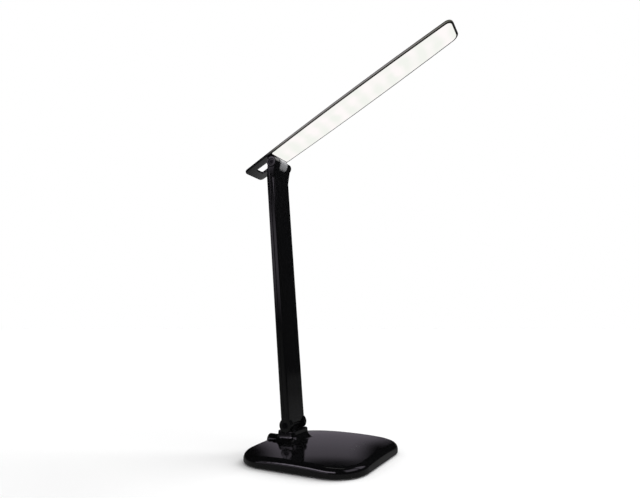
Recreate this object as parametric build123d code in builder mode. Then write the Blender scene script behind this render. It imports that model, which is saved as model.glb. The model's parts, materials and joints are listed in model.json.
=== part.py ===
from build123d import *
import math
import os

# Folding LED table lamp in millimetres.
# Origin: centre of the base's underside, on the table. +X forward, the way the head reaches. +Z up.

# Base: a pillow-topped rounded rectangle on a rubber pad
base_length = 135.6
base_width = 145.6
base_corner = 34.8
base_top = 15.6
crown_rise = 3.55
base_edge_radius = 6.3
base_foot_radius = 1.8
cover_wall = 2.2
cover_bottom = 0.6
pad_thickness = 0.8
pad_margin = 9.0
plate_thickness = 2.0
plate_gap = 0.2
ballast_rear_margin = 24.0
ballast_front_margin = 12.0
ballast_side_margin = 11.0
ballast_thickness = 3.5
ballast_corner = 14.0
base_screw_inset = 18.0
base_boss_radius = 3.6
base_boss_top = 10.2
base_screw_radius = 1.2
base_screw_head_radius = 2.6
base_screw_head_depth = 1.1

# Hinge block on the base, with the metal leaf of the lower hinge
hinge_rear_inset = 30.3
hinge_height = 30.5
block_top = 25.0
block_length = 20.4
block_width = 33.4
block_corner = 4.0
block_taper = 8.0
block_flare = 7.0
block_top_round = 1.0
knuckle_width = 22.8
knuckle_radius = 3.5
stem_front = 1.2
leaf_length = 18.0
leaf_width = 32.0
leaf_thickness = 2.5
leaf_height = 12.7
leaf_seat_depth = 1.8
leaf_screw_pitch_x = 12.0
leaf_screw_pitch_y = 26.0
leaf_screw_radius = 1.2
leaf_screw_length = 7.0
leaf_head_radius = 2.4
leaf_head_depth = 1.5

# Fits of the hinges and of loose pieces
shaft_radius = 2.0
running_gap = 0.05
seat_gap = 0.05
slot_gap = 0.15
side_gap = 0.1
swing_gap = 0.5
channel_gap = 0.3
washer_thickness = 0.5

# Lower hinge: the arm's two ears go round the shaft, outside the leaf
lower_ear_radius = 7.5
ear_chamfer = 0.5
lower_washer_radius = 3.3
lower_cap_radius = 3.4
lower_cap_thickness = 1.3
cross_width = 0.8
cross_length = 3.2
cross_depth = 0.6

# Arm: two half shells, from hinge axis to hinge axis
arm_length = 300.9
arm_lean = 5.0
arm_width = 34.2
arm_thickness = 10.4
arm_round = 2.0
arm_wall = 1.3
arm_side_wall = 1.6
arm_skirt = 1.8
seam_width = 0.4
seam_depth = 0.35
hollow_start = 12.0
hollow_end_wall = 4.0
spine_width = 20.0
spine_thickness = 1.2
lead_width = 3.6
lead_thickness = 1.5
arm_boss_radius = 2.3
arm_boss_pitch = 25.8
arm_boss_inset = 24.0
arm_screw_radius = 1.0
arm_screw_tip = 2.8
arm_head_radius = 1.9
arm_head_depth = 1.3

# Upper hinge: the arm's fork goes round the head's knuckle
upper_offset = 3.4
upper_ear_radius = 6.4
upper_ear_stand = 1.2
fork_gap_width = 15.2
fork_gap_depth = 8.8
fork_neck = 16.0
ear_dish_radius = 4.1
ear_dish_depth = 0.9
head_knuckle_radius = 7.6
knuckle_root_front = 4.0
root_screw_x = -5.0
root_screw_pitch = 8.4
root_screw_radius = 0.8
root_screw_length = 6.0
root_head_radius = 1.6
root_head_depth = 0.9
upper_washer_radius = 5.2
upper_cap_radius = 2.5
upper_cap_recess = 1.6
upper_cap_thickness = 1.0

# Head: a thin frame and cover, with a loop behind the hinge
head_tilt = 26.1
head_length = 286.3
head_tail = 38.6
head_end_width = 35.4
head_bow = 3.1
head_drop = 8.6
frame_depth = 2.3
frame_edge_round = 0.8
head_cover_thickness = 1.0
head_cover_round = 0.8
head_seam = 0.15
tip_corner = 8.0
tail_corner = 5.0
head_rim = 1.8
tip_rim = 2.4
lip_width = 0.6
lip_depth = 0.5
panel_start = 4.5
panel_gap = 0.1
panel_thickness = 0.9
panel_corner = 2.0
window_length = 18.5
window_width = 15.2
window_start = 9.0
window_corner = 1.5

# Light source in the head
board_thickness = 0.7
board_width = 31.0
board_end_gap = 3.0
led_length = 3.5
led_width = 2.8
led_height = 0.4
led_end_gap = 3.0
led_rows = 2
led_spacing = 19.6
led_spacing_across = 14.0
led_pair_spacing = 4.6

# Power inlet at the back of the base
inlet_width = 13.6
inlet_top = 17.2
inlet_round = 0.8
inlet_wall = 2.0
jack_height = 10.2
jack_mouth_radius = 2.85
jack_nose_radius = 4.0
jack_nose_setback = 0.4
jack_depth = 9.5
jack_body_width = 8.4
jack_body_height = 8.6
jack_body_length = 12.0
pin_radius = 1.0
pin_recess = 1.0

# Touch dimmer under the base's top
touch_front_inset = 27.8
touch_spacing = 13.0
touch_count = 3
touch_spring_radius = 3.0
touch_spring_taper = 4.0
control_length = 40.0
control_width = 52.0
control_thickness = 1.2
control_corner = 3.0
spacer_height = 1.5
spacer_radius = 2.4
board_screw_inset = 4.0
board_screw_radius = 1.2
board_head_radius = 2.2
board_head_depth = 1.4
chip_size = 9.0
chip_height = 1.6
coil_radius = 4.5
coil_height = 3.0
capacitor_radius = 2.5
capacitor_height = 3.2

# Places worked out from the sizes
hinge_x = hinge_rear_inset - base_length / 2
touch_x = base_length / 2 - touch_front_inset
lean = math.radians(arm_lean)
tilt = math.radians(head_tilt)
arm_direction = Vector(-math.sin(lean), 0, math.cos(lean))
arm_forward = Vector(math.cos(lean), 0, math.sin(lean))
head_direction = Vector(math.cos(tilt), 0, math.sin(tilt))
head_up = Vector(-math.sin(tilt), 0, math.cos(tilt))
lower_axis = Vector(hinge_x, 0, hinge_height)
upper_axis = lower_axis + arm_direction * arm_length + arm_forward * upper_offset

# The arm's planes: across it, seen from its side, and seen from its front
arm_section = Plane(origin=lower_axis, x_dir=arm_forward, z_dir=arm_direction)
arm_side = Plane(origin=lower_axis, x_dir=arm_forward, z_dir=(0, -1, 0))
arm_front = Plane(origin=lower_axis, x_dir=(0, 1, 0), z_dir=arm_forward)
fork_side = Plane(origin=upper_axis, x_dir=arm_forward, z_dir=(0, -1, 0))

# The head's planes: seen from its side, and seen from above
head_side = Plane(origin=upper_axis, x_dir=head_direction, z_dir=(0, -1, 0))
head_plan = Plane(origin=upper_axis, x_dir=head_direction, z_dir=head_up)

leaf_side = Plane(origin=lower_axis, x_dir=(1, 0, 0), z_dir=(0, -1, 0))

plate_top = pad_thickness + plate_thickness
ballast_top = plate_top + ballast_thickness
control_bottom = ballast_top + spacer_height
control_top = control_bottom + control_thickness
rear_x = -base_length / 2
crown_radius = base_length**2 / (8 * crown_rise) + crown_rise / 2
ballast_length = base_length - ballast_rear_margin - ballast_front_margin
ballast_width = base_width - 2 * ballast_side_margin
ballast_x = (ballast_rear_margin - ballast_front_margin) / 2
half_thickness = arm_thickness / 2
inner_half = half_thickness - arm_wall
half_width = arm_width / 2
lower_ear_inner = knuckle_width / 2 + side_gap + washer_thickness
fork_half_gap = fork_gap_width / 2
fork_outer = half_width + upper_ear_stand
head_knuckle_half = fork_half_gap - side_gap - washer_thickness
hollow_end = arm_length - fork_gap_depth - hollow_end_wall
head_middle = head_length / 2 - head_tail
head_tip = head_length - head_tail
frame_top = head_drop + frame_depth
root_screws_at = [(root_screw_x, -root_screw_pitch / 2), (root_screw_x, root_screw_pitch / 2)]
opening_end = head_tip - tip_rim
head_axis = Axis(upper_axis, head_up)


def four_corners(length, width, x=0.0, y=0.0):
    """Corner points of a rectangle centred on x, y."""
    return [
        (x + side * length / 2, y + end * width / 2) for side in (-1, 1) for end in (-1, 1)
    ]


base_screws_at = four_corners(
    base_length - 2 * base_screw_inset, base_width - 2 * base_screw_inset
)
leaf_screws_at = four_corners(leaf_screw_pitch_x, leaf_screw_pitch_y)
board_screws_at = four_corners(
    control_length - 2 * board_screw_inset, control_width - 2 * board_screw_inset
)
arm_bosses_at = four_corners(arm_boss_pitch, arm_length - 2 * arm_boss_inset, 0, arm_length / 2)


def export(builder, name):
    builder.part.label = name
    export_step(builder.part, f"parts/{name}.step")


def pillow(inset):
    """Solid under the crowned top, drawn in by inset on every side and from above."""
    with BuildPart() as solid:
        with BuildSketch(Plane.XY.offset(cover_bottom)):
            RectangleRounded(
                base_length - 2 * inset, base_width - 2 * inset, base_corner - inset
            )
        extrude(amount=base_top - cover_bottom)
        with Locations((0, 0, base_top - crown_radius)):
            Sphere(crown_radius - inset, rotation=(0, 0, 90), mode=Mode.INTERSECT)
        rim = solid.faces().sort_by(Axis.Z)[-1].edges()
        fillet(rim, base_edge_radius - inset)
    return solid.part


def saddle():
    """Round trough around the hinge axis, in which the arm's ears turn over the block."""
    with BuildPart() as trough:
        with BuildSketch(leaf_side):
            Circle(lower_ear_radius + swing_gap)
        extrude(amount=arm_width, both=True)
    return trough.part


def inlet_housing():
    """Round-topped housing at the back edge, around the socket, that runs into the hinge block."""
    round_height = inlet_top - inlet_width / 2
    with BuildPart() as housing:
        with BuildSketch(Plane.YZ.offset(rear_x)):
            with Locations((0, round_height)):
                Circle(inlet_width / 2)
            with Locations((0, (plate_top + round_height) / 2)):
                Rectangle(inlet_width, round_height - plate_top)
        extrude(amount=hinge_x - rear_x)
        rear = housing.faces().sort_by(Axis.X)[0]
        fillet(rear.edges().sort_by(Axis.Z)[1:], inlet_round)
    return housing.part


def make_base_cover():
    """Glossy top: a pillow shell with the hinge block and the power inlet housing moulded on."""
    housing = inlet_housing()
    inside = pillow(cover_wall)
    trough = saddle()
    leaf_centre = Plane((hinge_x, 0, leaf_height))
    stem_length = knuckle_radius + stem_front
    with BuildPart() as cover:
        add(pillow(0))
        # hinge block, wider towards its foot, with a flared foot all round
        with BuildSketch(Plane((hinge_x, 0, block_top))):
            RectangleRounded(block_length, block_width, block_corner)
        extrude(amount=plate_top - block_top, taper=-block_taper)
        crown = cover.faces().filter_by(GeomType.SPHERE).sort_by(SortBy.AREA)[-1]
        foot = crown.edges().filter_by(
            lambda edge: abs(edge.center().X - hinge_x) < block_length
            and abs(edge.center().Y) < block_width
        )
        fillet(foot, block_flare)
        fillet(cover.faces().sort_by(Axis.Z)[-1].edges(), block_top_round)
        add(trough, mode=Mode.SUBTRACT)
        fillet(cover.faces().sort_by(Axis.Z)[0].edges(), base_foot_radius)
        add(housing)
        add(inside, mode=Mode.SUBTRACT)
        # bosses for the bottom plate's screws, and a flat seat for the hinge leaf
        with BuildSketch(Plane.XY.offset(plate_top)):
            with Locations(base_screws_at):
                Circle(base_boss_radius)
        extrude(amount=base_boss_top - plate_top)
        with BuildSketch(leaf_centre):
            Rectangle(leaf_length, leaf_width)
        extrude(amount=leaf_seat_depth)
        with BuildSketch(leaf_centre):
            Rectangle(leaf_length + 2 * slot_gap, leaf_width + 2 * slot_gap)
        extrude(amount=plate_top - leaf_height, mode=Mode.SUBTRACT)
        # slot for the leaf's stem, and the screw holes
        with BuildSketch(leaf_centre):
            with Locations(((stem_front - knuckle_radius) / 2, 0)):
                Rectangle(stem_length + 2 * slot_gap, knuckle_width + 2 * slot_gap)
        extrude(amount=block_top - leaf_height, mode=Mode.SUBTRACT)
        with BuildSketch(leaf_centre):
            with Locations(leaf_screws_at):
                Circle(leaf_screw_radius + seat_gap)
        extrude(amount=leaf_screw_length, mode=Mode.SUBTRACT)
        with BuildSketch(Plane.XY.offset(plate_top)):
            with Locations(base_screws_at):
                Circle(base_screw_radius + seat_gap)
        extrude(amount=base_boss_top - plate_top - cover_wall, mode=Mode.SUBTRACT)
        # room for the socket, and the round hole for its nose
        pocket_bottom = plate_top
        pocket_top = jack_height + jack_body_height / 2 + slot_gap
        with BuildSketch(Plane.YZ.offset(rear_x + inlet_wall)):
            with Locations((0, (pocket_bottom + pocket_top) / 2)):
                Rectangle(jack_body_width + 2 * slot_gap, pocket_top - pocket_bottom)
        extrude(amount=jack_body_length + slot_gap, mode=Mode.SUBTRACT)
        with BuildSketch(Plane.YZ.offset(rear_x)):
            with Locations((0, jack_height)):
                Circle(jack_nose_radius + slot_gap)
        extrude(amount=inlet_wall, mode=Mode.SUBTRACT)
    export(cover, "base_cover")


def make_base_underside():
    """Bottom plate, steel ballast, rubber pad and the four screws between plate and cover."""
    inset = cover_wall + plate_gap
    with BuildPart() as plate:
        with BuildSketch(Plane.XY.offset(pad_thickness)):
            RectangleRounded(
                base_length - 2 * inset, base_width - 2 * inset, base_corner - inset
            )
            with Locations(base_screws_at):
                Circle(base_screw_radius + slot_gap, mode=Mode.SUBTRACT)
        extrude(amount=plate_thickness)
        with BuildSketch(Plane.XY.offset(pad_thickness)):
            with Locations(base_screws_at):
                Circle(base_screw_head_radius + slot_gap)
        extrude(amount=base_screw_head_depth, mode=Mode.SUBTRACT)
    export(plate, "base_plate")

    with BuildPart() as screws:
        with BuildSketch(Plane.XY.offset(pad_thickness)):
            with Locations(base_screws_at):
                Circle(base_screw_head_radius)
        extrude(amount=base_screw_head_depth)
        with BuildSketch(Plane.XY.offset(pad_thickness)):
            with Locations(base_screws_at):
                Circle(base_screw_radius)
        extrude(amount=base_boss_top - pad_thickness - cover_wall - slot_gap)
    export(screws, "base_screws")

    with BuildPart() as pad:
        with BuildSketch(Plane.XY):
            RectangleRounded(
                base_length - 2 * pad_margin, base_width - 2 * pad_margin, base_corner - pad_margin
            )
        extrude(amount=pad_thickness)
    export(pad, "base_pad")

    with BuildPart() as ballast:
        with BuildSketch(Plane.XY.offset(plate_top)):
            with Locations((ballast_x, 0)):
                RectangleRounded(ballast_length, ballast_width, ballast_corner)
            with Locations(base_screws_at):
                Circle(base_boss_radius + swing_gap, mode=Mode.SUBTRACT)
        extrude(amount=ballast_thickness)
        with BuildSketch(Plane((touch_x, 0, plate_top))):
            with Locations(board_screws_at):
                Circle(board_screw_radius + seat_gap)
        extrude(amount=ballast_thickness, mode=Mode.SUBTRACT)
    export(ballast, "ballast_plate")


def ceiling(x, y):
    """Height of the cover's inside above a point of the table."""
    reach = crown_radius - cover_wall
    return base_top - crown_radius + math.sqrt(reach**2 - x**2 - y**2)


def make_touch_dimmer():
    """Circuit board on spacers over the ballast, with contact springs up to the touch area."""
    board_plane = Plane((touch_x, 0, control_bottom))
    with BuildPart() as board:
        with BuildSketch(board_plane):
            RectangleRounded(control_length, control_width, control_corner)
            with Locations(board_screws_at):
                Circle(board_screw_radius + seat_gap, mode=Mode.SUBTRACT)
        extrude(amount=control_thickness)
    export(board, "control_board")

    with BuildPart() as spacers:
        with BuildSketch(Plane((touch_x, 0, ballast_top))):
            with Locations(board_screws_at):
                Circle(spacer_radius)
                Circle(board_screw_radius + seat_gap, mode=Mode.SUBTRACT)
        extrude(amount=spacer_height)
    export(spacers, "board_spacers")

    with BuildPart() as screws:
        with BuildSketch(Plane((touch_x, 0, control_top))):
            with Locations(board_screws_at):
                Circle(board_head_radius)
        extrude(amount=board_head_depth)
        with BuildSketch(Plane((touch_x, 0, control_top))):
            with Locations(board_screws_at):
                Circle(board_screw_radius)
        extrude(amount=plate_top - control_top)
    export(screws, "board_screws")

    side = control_width / 4
    with BuildPart() as parts:
        with BuildSketch(Plane((touch_x + control_length / 4, -side / 2, control_top))):
            Rectangle(chip_size, chip_size)
        extrude(amount=chip_height)
        with BuildSketch(Plane((touch_x - control_length / 4, -side, control_top))):
            Circle(coil_radius)
        extrude(amount=coil_height)
        with BuildSketch(Plane((touch_x - control_length / 4, side, control_top))):
            with GridLocations(0, 3 * capacitor_radius, 1, 2):
                Circle(capacitor_radius)
        extrude(amount=capacitor_height)
    export(parts, "board_parts")

    with BuildPart() as springs:
        for index in range(touch_count):
            y = (index - (touch_count - 1) / 2) * touch_spacing
            top = ceiling(touch_x + touch_spring_radius, abs(y) + touch_spring_radius) - side_gap
            with BuildSketch(Plane((touch_x, y, control_top))):
                Circle(touch_spring_radius)
                Circle(touch_spring_radius / 2, mode=Mode.SUBTRACT)
            extrude(amount=top - control_top)
    export(springs, "touch_springs")


def make_power_inlet():
    """Round low-voltage socket with its centre pin, facing backwards."""
    face_x = rear_x + jack_nose_setback
    body_x = rear_x + inlet_wall + seat_gap
    with BuildPart() as jack:
        with BuildSketch(Plane.YZ.offset(body_x)):
            with Locations((0, jack_height)):
                Rectangle(jack_body_width, jack_body_height)
        extrude(amount=jack_body_length)
        with BuildSketch(Plane.YZ.offset(face_x)):
            with Locations((0, jack_height)):
                Circle(jack_nose_radius)
        extrude(amount=body_x - face_x)
        with BuildSketch(Plane.YZ.offset(face_x)):
            with Locations((0, jack_height)):
                Circle(jack_mouth_radius)
        extrude(amount=jack_depth, mode=Mode.SUBTRACT)
    export(jack, "power_jack")

    with BuildPart() as pin:
        with BuildSketch(Plane.YZ.offset(face_x + pin_recess)):
            with Locations((0, jack_height)):
                Circle(pin_radius)
        extrude(amount=jack_depth - pin_recess)
        fillet(pin.faces().sort_by(Axis.X)[0].edges(), pin_radius / 2)
    export(pin, "jack_pin")


def make_hinge_leaf():
    """Metal leaf of the lower hinge: a flange under the block, a stem through it, and a barrel."""
    with BuildPart() as leaf:
        stem_length = knuckle_radius + stem_front
        drop = hinge_height - leaf_height + leaf_thickness
        with BuildSketch(leaf_side):
            Circle(knuckle_radius)
            with Locations(((stem_front - knuckle_radius) / 2, -drop / 2)):
                Rectangle(stem_length, drop)
            Circle(shaft_radius + running_gap, mode=Mode.SUBTRACT)
        extrude(amount=knuckle_width / 2, both=True)
        with BuildSketch(Plane((hinge_x, 0, leaf_height))):
            Rectangle(leaf_length, leaf_width)
            with Locations(leaf_screws_at):
                Circle(leaf_screw_radius + slot_gap, mode=Mode.SUBTRACT)
        extrude(amount=-leaf_thickness)
    export(leaf, "base_knuckle")

    with BuildPart() as screws:
        with BuildSketch(Plane((hinge_x, 0, leaf_height - leaf_thickness))):
            with Locations(leaf_screws_at):
                Circle(leaf_head_radius)
        extrude(amount=-leaf_head_depth)
        with BuildSketch(Plane((hinge_x, 0, leaf_height - leaf_thickness))):
            with Locations(leaf_screws_at):
                Circle(leaf_screw_radius)
        extrude(amount=leaf_thickness + leaf_screw_length - slot_gap)
    export(screws, "knuckle_screws")


def make_hinge_hardware(prefix, plane, inner, outer, washer_radius, cap_radius, recess, cap):
    """Shaft, two friction washers against the ears, and two screw heads sunk in their outer faces."""
    end = outer - recess
    with BuildPart() as shaft:
        with BuildSketch(plane):
            Circle(shaft_radius)
        extrude(amount=end, both=True)
    export(shaft, f"{prefix}_shaft")

    with BuildPart() as washers:
        for side in (-1, 1):
            with BuildSketch(plane.offset(side * inner)):
                Circle(washer_radius)
                Circle(shaft_radius + seat_gap, mode=Mode.SUBTRACT)
            extrude(amount=-side * washer_thickness)
    export(washers, f"{prefix}_washers")

    with BuildPart() as caps:
        for side in (-1, 1):
            with BuildSketch(plane.offset(side * end)):
                Circle(cap_radius)
            extrude(amount=side * cap)
            with BuildSketch(plane.offset(side * (end + cap))):
                Rectangle(cross_width, cross_length)
                Rectangle(cross_length, cross_width)
            extrude(amount=-side * cross_depth, mode=Mode.SUBTRACT)
    export(caps, f"{prefix}_caps")


def ear_pair(plane, radius, inner, outer):
    """Two round ears either side of the middle, with a small chamfer on their outer rims."""
    with BuildPart() as ears:
        for side in (-1, 1):
            with BuildSketch(plane.offset(side * inner)):
                Circle(radius)
            extrude(amount=side * (outer - inner))
        across = ears.faces().sort_by(Axis.Y)
        chamfer(across[0].edges() + across[-1].edges(), ear_chamfer)
    return ears.part


def front_shell_region():
    """Space of the arm's front shell: the front half, without the lower ears, with the whole fork."""
    reach = 2 * arm_thickness
    height = arm_length + 4 * reach
    ear_span = arm_width - lower_ear_inner
    with BuildPart() as region:
        with BuildSketch(arm_side):
            with Locations((reach / 2, arm_length / 2)):
                Rectangle(reach, height)
        extrude(amount=arm_width, both=True)
        for side in (-1, 1):
            with BuildSketch(arm_side.offset(side * lower_ear_inner)):
                with Locations((reach / 2, lower_ear_radius - reach)):
                    Rectangle(reach, 2 * reach)
            extrude(amount=side * ear_span, mode=Mode.SUBTRACT)
        with BuildSketch(arm_side):
            with Locations((0, arm_length - fork_gap_depth + reach)):
                Rectangle(2 * reach, 2 * reach)
        extrude(amount=arm_width, both=True)
    return region.part


def arm_reach(edge):
    """How far along the arm an edge's middle lies from the lower hinge."""
    return (edge.center() - lower_axis).dot(arm_direction)


def make_arm_shells():
    """Flat moulded arm with two ears below and a fork above, split along its narrow sides."""
    neck = arm_length - fork_neck
    lower_ears = ear_pair(arm_side, lower_ear_radius, lower_ear_inner, half_width)
    upper_ears = ear_pair(fork_side, upper_ear_radius, fork_half_gap, fork_outer)
    region = front_shell_region()
    with BuildPart() as arm:
        with BuildSketch(arm_side):
            with Locations((0, (arm_skirt + neck) / 2)):
                Rectangle(arm_thickness, neck - arm_skirt)
        extrude(amount=half_width, both=True)
        with BuildSketch(arm_side):
            with Locations((upper_offset, arm_length)):
                Circle(upper_ear_radius)
            with Locations((0, neck - arm_round)):
                Rectangle(arm_thickness, 2 * arm_round)
            make_hull()
        extrude(amount=half_width, both=True)
        sides = arm.faces().filter_by(Axis.Y)
        long_edges = sides.edges().filter_by(lambda edge: arm_reach(edge) > arm_skirt + arm_round)
        fillet(long_edges, arm_round)
        # ears: a flush pair below, and above a pair that stands a little proud of the sides
        add(lower_ears)
        add(upper_ears)
        # gap of the fork, channel round the leaf, and the hollow between them
        with BuildSketch(arm_front):
            with Locations((0, arm_length - fork_gap_depth + fork_neck)):
                Rectangle(fork_gap_width, 2 * fork_neck)
        extrude(amount=2 * arm_thickness, both=True, mode=Mode.SUBTRACT)
        with BuildSketch(arm_section.offset(-lower_ear_radius - swing_gap)):
            Rectangle(2 * (knuckle_radius + channel_gap), 2 * lower_ear_inner)
        extrude(amount=lower_ear_radius + swing_gap + hollow_start, mode=Mode.SUBTRACT)
        with BuildSketch(arm_section.offset(hollow_start)):
            Rectangle(2 * inner_half, arm_width - 2 * arm_side_wall)
        extrude(amount=hollow_end - hollow_start, mode=Mode.SUBTRACT)
        with BuildSketch(arm_section.offset(hollow_end)):
            Rectangle(lead_thickness + 4 * slot_gap, lead_width + 4 * slot_gap)
        extrude(amount=hollow_end_wall, mode=Mode.SUBTRACT)
        # screw bosses across the hollow
        with BuildSketch(arm_front):
            with Locations(arm_bosses_at):
                Circle(arm_boss_radius)
        extrude(amount=inner_half, both=True)
        with BuildSketch(arm_front.offset(-half_thickness)):
            with Locations(arm_bosses_at):
                Circle(arm_screw_radius + seat_gap)
        extrude(amount=half_thickness + arm_screw_tip + slot_gap, mode=Mode.SUBTRACT)
        with BuildSketch(arm_front.offset(-half_thickness)):
            with Locations(arm_bosses_at):
                Circle(arm_head_radius + slot_gap)
        extrude(amount=arm_head_depth, mode=Mode.SUBTRACT)
        # bores of the two shafts, with sunk seats for their screw heads
        with BuildSketch(arm_side):
            Circle(shaft_radius + seat_gap)
        extrude(amount=arm_width, both=True, mode=Mode.SUBTRACT)
        with BuildSketch(fork_side):
            Circle(shaft_radius + seat_gap)
        extrude(amount=arm_width, both=True, mode=Mode.SUBTRACT)
        for side in (-1, 1):
            with BuildSketch(arm_side.offset(side * half_width)):
                Circle(lower_cap_radius + slot_gap)
            extrude(amount=-side * lower_cap_thickness, mode=Mode.SUBTRACT)
            with BuildSketch(fork_side.offset(side * fork_outer)):
                Circle(upper_cap_radius + slot_gap)
            extrude(amount=-side * upper_cap_recess, mode=Mode.SUBTRACT)
            with BuildSketch(fork_side.offset(side * fork_outer)):
                Circle(ear_dish_radius)
            extrude(amount=-side * ear_dish_depth, taper=45, mode=Mode.SUBTRACT)
        # groove where the shells meet
        with BuildSketch(arm_section.offset(lower_ear_radius)):
            with GridLocations(0, arm_width - seam_depth, 1, 2):
                Rectangle(seam_width, seam_depth)
        extrude(amount=neck - lower_ear_radius, mode=Mode.SUBTRACT)

    for name, mode in (("arm_front_shell", Mode.INTERSECT), ("arm_rear_shell", Mode.SUBTRACT)):
        with BuildPart() as shell:
            add(arm.part)
            add(region, mode=mode)
        export(shell, name)


def make_arm_inside():
    """Steel strip and flat lead inside the arm, and the screws that hold its shells together."""
    length = hollow_end - hollow_start - 2 * slot_gap
    start = arm_section.offset(hollow_start + slot_gap)
    spine_middle = seat_gap + spine_thickness / 2 - inner_half
    lead_middle = spine_middle + (spine_thickness + lead_thickness) / 2 + seat_gap
    with BuildPart() as spine:
        with BuildSketch(start):
            with Locations((spine_middle, 0)):
                Rectangle(spine_thickness, spine_width)
        extrude(amount=length)
    export(spine, "arm_spine")

    with BuildPart() as lead:
        with BuildSketch(start):
            with Locations((lead_middle, 0)):
                RectangleRounded(lead_thickness, lead_width, lead_thickness * 0.4)
        extrude(amount=length)
    export(lead, "arm_lead")

    with BuildPart() as screws:
        with BuildSketch(arm_front.offset(arm_head_depth - half_thickness)):
            with Locations(arm_bosses_at):
                Circle(arm_head_radius)
        extrude(amount=slot_gap - arm_head_depth)
        with BuildSketch(arm_front.offset(arm_head_depth - half_thickness)):
            with Locations(arm_bosses_at):
                Circle(arm_screw_radius)
        extrude(amount=half_thickness - arm_head_depth + arm_screw_tip)
    export(screws, "arm_screws")


def head_outline(inset):
    """The head seen from above, drawn in by inset: square ends and two bowed long sides."""
    rear = inset - head_tail
    front = head_tip - inset
    half = head_end_width / 2 - inset
    with BuildLine() as sides:
        Line((rear, -half), (rear, half))
        ThreePointArc((rear, half), (head_middle, half + head_bow), (front, half))
        Line((front, half), (front, -half))
        ThreePointArc((front, -half), (head_middle, -half - head_bow), (rear, -half))
    make_face(sides.edges())


def round_ends(rear_radius, front_radius):
    """Rounds the two rear corners and the two front corners of the sketch."""
    fillet(vertices().group_by(Axis.X)[0], rear_radius)
    fillet(vertices().group_by(Axis.X)[-1], front_radius)


def head_plate(inset, bottom, thickness):
    """Plate with the head's outline and the window of its tail loop."""
    with BuildPart() as plate:
        with BuildSketch(head_plan.offset(bottom)):
            head_outline(inset)
            round_ends(tail_corner - inset, tip_corner - inset)
        extrude(amount=thickness)
    return plate.part


def panel(inset, bottom, thickness):
    """Slab of the lit area, from the hinge to the tip, drawn in by inset from the head's outline."""
    start = panel_start + inset - head_rim
    end = opening_end - inset + head_rim
    with BuildPart() as slab:
        with BuildSketch(head_plan.offset(bottom)):
            head_outline(inset)
            with Locations(((start + end) / 2, 0)):
                Rectangle(end - start, head_end_width + 4 * head_bow, mode=Mode.INTERSECT)
            round_ends(panel_corner, tip_corner - inset)
        extrude(amount=thickness)
    return slab.part


def tail_window(bottom, thickness):
    """Opening of the loop at the head's tail."""
    with BuildPart() as window:
        with BuildSketch(head_plan.offset(bottom)):
            with Locations((-window_start - window_length / 2, 0)):
                RectangleRounded(window_length, window_width, window_corner)
        extrude(amount=thickness)
    return window.part


def make_head():
    """Thin lower frame with the hinge knuckle and the tail loop, and the cover that closes it."""
    outline = head_plate(0, head_drop, frame_depth)
    opening = panel(head_rim, head_drop, lip_depth)
    recess = panel(head_rim - lip_width, head_drop + lip_depth, frame_depth - lip_depth)
    frame_window = tail_window(head_drop, frame_depth)
    with BuildPart() as frame:
        add(outline)
        fillet(frame.faces().sort_by(head_axis)[0].edges(), frame_edge_round)
        add(opening, mode=Mode.SUBTRACT)
        add(recess, mode=Mode.SUBTRACT)
        add(frame_window, mode=Mode.SUBTRACT)
        # countersinks and holes of the screws that hold the knuckle
        with BuildSketch(head_plan.offset(frame_top)):
            with Locations(root_screws_at):
                Circle(root_head_radius + slot_gap)
        extrude(amount=-root_head_depth, mode=Mode.SUBTRACT)
        with BuildSketch(head_plan.offset(head_drop)):
            with Locations(root_screws_at):
                Circle(root_screw_radius + seat_gap)
        extrude(amount=frame_depth, mode=Mode.SUBTRACT)
    export(frame, "head_frame")

    with BuildPart() as knuckle:
        with BuildSketch(head_side):
            Circle(head_knuckle_radius)
            with Locations(((knuckle_root_front - head_knuckle_radius) / 2, head_drop / 2)):
                Rectangle(knuckle_root_front + head_knuckle_radius, head_drop)
            make_hull()
            Circle(shaft_radius + running_gap, mode=Mode.SUBTRACT)
        extrude(amount=head_knuckle_half, both=True)
        with BuildSketch(head_plan.offset(head_drop)):
            with Locations(root_screws_at):
                Circle(root_screw_radius + seat_gap)
        extrude(amount=frame_depth - root_head_depth - root_screw_length, mode=Mode.SUBTRACT)
    export(knuckle, "head_knuckle")

    with BuildPart() as screws:
        with BuildSketch(head_plan.offset(frame_top - root_head_depth)):
            with Locations(root_screws_at):
                Circle(root_head_radius)
        extrude(amount=root_head_depth)
        with BuildSketch(head_plan.offset(frame_top - root_head_depth)):
            with Locations(root_screws_at):
                Circle(root_screw_radius)
        extrude(amount=-root_screw_length)
    export(screws, "head_screws")

    lid = head_plate(head_seam, frame_top, head_cover_thickness)
    cover_window = tail_window(frame_top, head_cover_thickness)
    with BuildPart() as cover:
        add(lid)
        fillet(cover.faces().sort_by(head_axis)[-1].edges(), head_cover_round)
        add(cover_window, mode=Mode.SUBTRACT)
    export(cover, "head_cover")


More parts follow.
